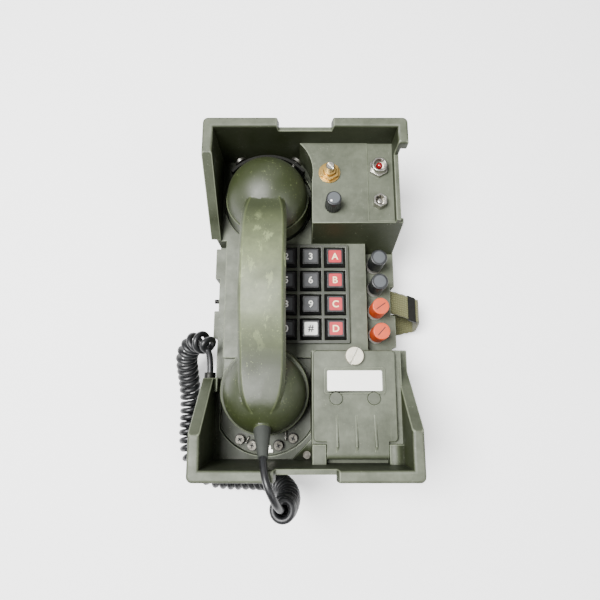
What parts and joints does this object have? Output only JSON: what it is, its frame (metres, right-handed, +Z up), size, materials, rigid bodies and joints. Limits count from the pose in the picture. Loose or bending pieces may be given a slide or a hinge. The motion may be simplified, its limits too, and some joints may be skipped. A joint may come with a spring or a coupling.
{
  "type": "field telephone",
  "caption": "Field telephone in a cast housing with raised, notched ends: corded handset in a cradle, keypad, wire binding posts, control panel, hinged battery door and webbing loop.",
  "frame": {"origin": "centre of the base plate, on the surface that it stands on", "axes": "+Z up, +Y along the housing towards the end with the ear cup and the control panel, +X towards the side with the binding posts"},
  "size_m": [0.2017, 0.2803, 0.1188],
  "materials": {
    "housing_paint": "matt olive paint on an aluminium casting",
    "handset_plastic": "matt olive green moulding, scuffed",
    "bezel": "matt olive paint",
    "key_dark": "satin dark grey moulding",
    "key_red": "satin red moulding",
    "key_white": "satin off-white moulding",
    "black_plastic": "satin black moulding",
    "orange_plastic": "satin orange moulding",
    "steel": "machined steel",
    "dark_metal": "black oxide on steel",
    "grey_metal": "satin grey paint on metal",
    "cream_metal": "worn cream paint on metal",
    "brass": "dull machined brass",
    "red_lens": "polished red moulding",
    "rubber": "matt black moulding",
    "boot_rubber": "matt grey moulding",
    "cord_rubber": "satin black extrusion",
    "label": "printed white plastic film",
    "board": "green laminate",
    "cell": "printed steel sleeve",
    "capsule": "spun aluminium",
    "webbing": "woven olive cotton webbing"
  },
  "bodies": {
    "case": {"housing": "housing_paint", "base_plate": "housing_paint", "base_screws": "steel", "keypad_bezel": "bezel", "keypad_board": "board", "main_board": "board", "sounder": "black_plastic", "mode_switch": "brass", "mode_nut": "brass", "volume_pot": "steel", "led_bezel": "steel", "led_lamp": "red_lens", "push_bushing": "steel", "post_stems": "steel", "hinge_pin": "steel", "battery_cells": "cell", "battery_springs": "steel", "ear_pad": "rubber", "ear_stay": "dark_metal", "cradle_screws": "steel", "cord_gland": "dark_metal", "strap": "webbing", "strap_fittings": "dark_metal"},
    "handset": {"handset_shell": "handset_plastic", "ear_cap": "handset_plastic", "mouth_cap": "handset_plastic", "handset_capsules": "capsule", "cord_boot": "boot_rubber", "handset_cord": "cord_rubber"},
    "hook": {"hook_plate": "housing_paint", "mouth_pad": "rubber"},
    "door": {"battery_door": "housing_paint", "door_gasket": "rubber", "label_plate": "label", "door_buttons": "grey_metal", "door_contact": "brass"},
    "thumbscrew": {"thumbscrew": "cream_metal"},
    "mode_shaft": {"mode_shaft": "steel"},
    "volume_knob": {"volume_knob": "black_plastic"},
    "push_plunger": {"push_plunger": "steel"},
    "key_1": {"key_1": "key_dark"},
    "key_2": {"key_2": "key_dark"},
    "key_3": {"key_3": "key_dark"},
    "key_a": {"key_a": "key_red"},
    "key_4": {"key_4": "key_dark"},
    "key_5": {"key_5": "key_dark"},
    "key_6": {"key_6": "key_dark"},
    "key_b": {"key_b": "key_red"},
    "key_7": {"key_7": "key_dark"},
    "key_8": {"key_8": "key_dark"},
    "key_9": {"key_9": "key_dark"},
    "key_c": {"key_c": "key_red"},
    "key_star": {"key_star": "key_dark"},
    "key_0": {"key_0": "key_dark"},
    "key_hash": {"key_hash": "key_white"},
    "key_d": {"key_d": "key_red"},
    "post_cap_1": {"post_cap_1": "black_plastic"},
    "post_cap_2": {"post_cap_2": "black_plastic"},
    "post_cap_3": {"post_cap_3": "orange_plastic"},
    "post_cap_4": {"post_cap_4": "orange_plastic"}
  },
  "joints": [
    {"name": "handset_lift", "type": "slide", "parent": "case", "child": "handset", "axis": [0, 0, 1], "range_m": [0, 0.09]},
    {"name": "hook_rise", "type": "slide", "parent": "case", "child": "hook", "axis": [0, 0, 1], "range_m": [0, 0.0025]},
    {"name": "door_hinge", "type": "hinge", "parent": "case", "child": "door", "pos_m": [0.0342, -0.1113, 0.079], "axis": [1, 0, 0], "range_deg": [0, 84]},
    {"name": "thumbscrew_turn", "type": "hinge", "parent": "door", "child": "thumbscrew", "pos_m": [0.0342, -0.0456, 0.083], "axis": [0, 0, 1], "continuous": true},
    {"name": "mode_turn", "type": "hinge", "parent": "case", "child": "mode_shaft", "pos_m": [0.0185, 0.093, 0.085], "axis": [0, 0, 1], "range_deg": [-105, 105]},
    {"name": "volume_turn", "type": "hinge", "parent": "case", "child": "volume_knob", "pos_m": [0.0206, 0.0664, 0.085], "axis": [0, 0, 1], "range_deg": [-150, 150]},
    {"name": "push_press", "type": "slide", "parent": "case", "child": "push_plunger", "axis": [0, 0, -1], "range_m": [0, 0.002], "stiffness_N_per_m": 400, "springref_m": -0.0005},
    {"name": "key_1_press", "type": "slide", "parent": "case", "child": "key_1", "axis": [0, 0, -1], "range_m": [0, 0.0015], "stiffness_N_per_m": 500, "springref_m": -0.0005},
    {"name": "key_2_press", "type": "slide", "parent": "case", "child": "key_2", "axis": [0, 0, -1], "range_m": [0, 0.0015], "stiffness_N_per_m": 500, "springref_m": -0.0005},
    {"name": "key_3_press", "type": "slide", "parent": "case", "child": "key_3", "axis": [0, 0, -1], "range_m": [0, 0.0015], "stiffness_N_per_m": 500, "springref_m": -0.0005},
    {"name": "key_a_press", "type": "slide", "parent": "case", "child": "key_a", "axis": [0, 0, -1], "range_m": [0, 0.0015], "stiffness_N_per_m": 500, "springref_m": -0.0005},
    {"name": "key_4_press", "type": "slide", "parent": "case", "child": "key_4", "axis": [0, 0, -1], "range_m": [0, 0.0015], "stiffness_N_per_m": 500, "springref_m": -0.0005},
    {"name": "key_5_press", "type": "slide", "parent": "case", "child": "key_5", "axis": [0, 0, -1], "range_m": [0, 0.0015], "stiffness_N_per_m": 500, "springref_m": -0.0005},
    {"name": "key_6_press", "type": "slide", "parent": "case", "child": "key_6", "axis": [0, 0, -1], "range_m": [0, 0.0015], "stiffness_N_per_m": 500, "springref_m": -0.0005},
    {"name": "key_b_press", "type": "slide", "parent": "case", "child": "key_b", "axis": [0, 0, -1], "range_m": [0, 0.0015], "stiffness_N_per_m": 500, "springref_m": -0.0005},
    {"name": "key_7_press", "type": "slide", "parent": "case", "child": "key_7", "axis": [0, 0, -1], "range_m": [0, 0.0015], "stiffness_N_per_m": 500, "springref_m": -0.0005},
    {"name": "key_8_press", "type": "slide", "parent": "case", "child": "key_8", "axis": [0, 0, -1], "range_m": [0, 0.0015], "stiffness_N_per_m": 500, "springref_m": -0.0005},
    {"name": "key_9_press", "type": "slide", "parent": "case", "child": "key_9", "axis": [0, 0, -1], "range_m": [0, 0.0015], "stiffness_N_per_m": 500, "springref_m": -0.0005},
    {"name": "key_c_press", "type": "slide", "parent": "case", "child": "key_c", "axis": [0, 0, -1], "range_m": [0, 0.0015], "stiffness_N_per_m": 500, "springref_m": -0.0005},
    {"name": "key_star_press", "type": "slide", "parent": "case", "child": "key_star", "axis": [0, 0, -1], "range_m": [0, 0.0015], "stiffness_N_per_m": 500, "springref_m": -0.0005},
    {"name": "key_0_press", "type": "slide", "parent": "case", "child": "key_0", "axis": [0, 0, -1], "range_m": [0, 0.0015], "stiffness_N_per_m": 500, "springref_m": -0.0005},
    {"name": "key_hash_press", "type": "slide", "parent": "case", "child": "key_hash", "axis": [0, 0, -1], "range_m": [0, 0.0015], "stiffness_N_per_m": 500, "springref_m": -0.0005},
    {"name": "key_d_press", "type": "slide", "parent": "case", "child": "key_d", "axis": [0, 0, -1], "range_m": [0, 0.0015], "stiffness_N_per_m": 500, "springref_m": -0.0005},
    {"name": "post_1_press", "type": "slide", "parent": "case", "child": "post_cap_1", "axis": [0, 0, -1], "range_m": [0, 0.004], "stiffness_N_per_m": 500, "springref_m": -0.001},
    {"name": "post_2_press", "type": "slide", "parent": "case", "child": "post_cap_2", "axis": [0, 0, -1], "range_m": [0, 0.004], "stiffness_N_per_m": 500, "springref_m": -0.001},
    {"name": "post_3_press", "type": "slide", "parent": "case", "child": "post_cap_3", "axis": [0, 0, -1], "range_m": [0, 0.004], "stiffness_N_per_m": 500, "springref_m": -0.001},
    {"name": "post_4_press", "type": "slide", "parent": "case", "child": "post_cap_4", "axis": [0, 0, -1], "range_m": [0, 0.004], "stiffness_N_per_m": 500, "springref_m": -0.001}
  ],
  "couplings": [
    {"joint": "hook_rise", "follows": "handset_lift", "ratio": 0.0277}
  ]
}
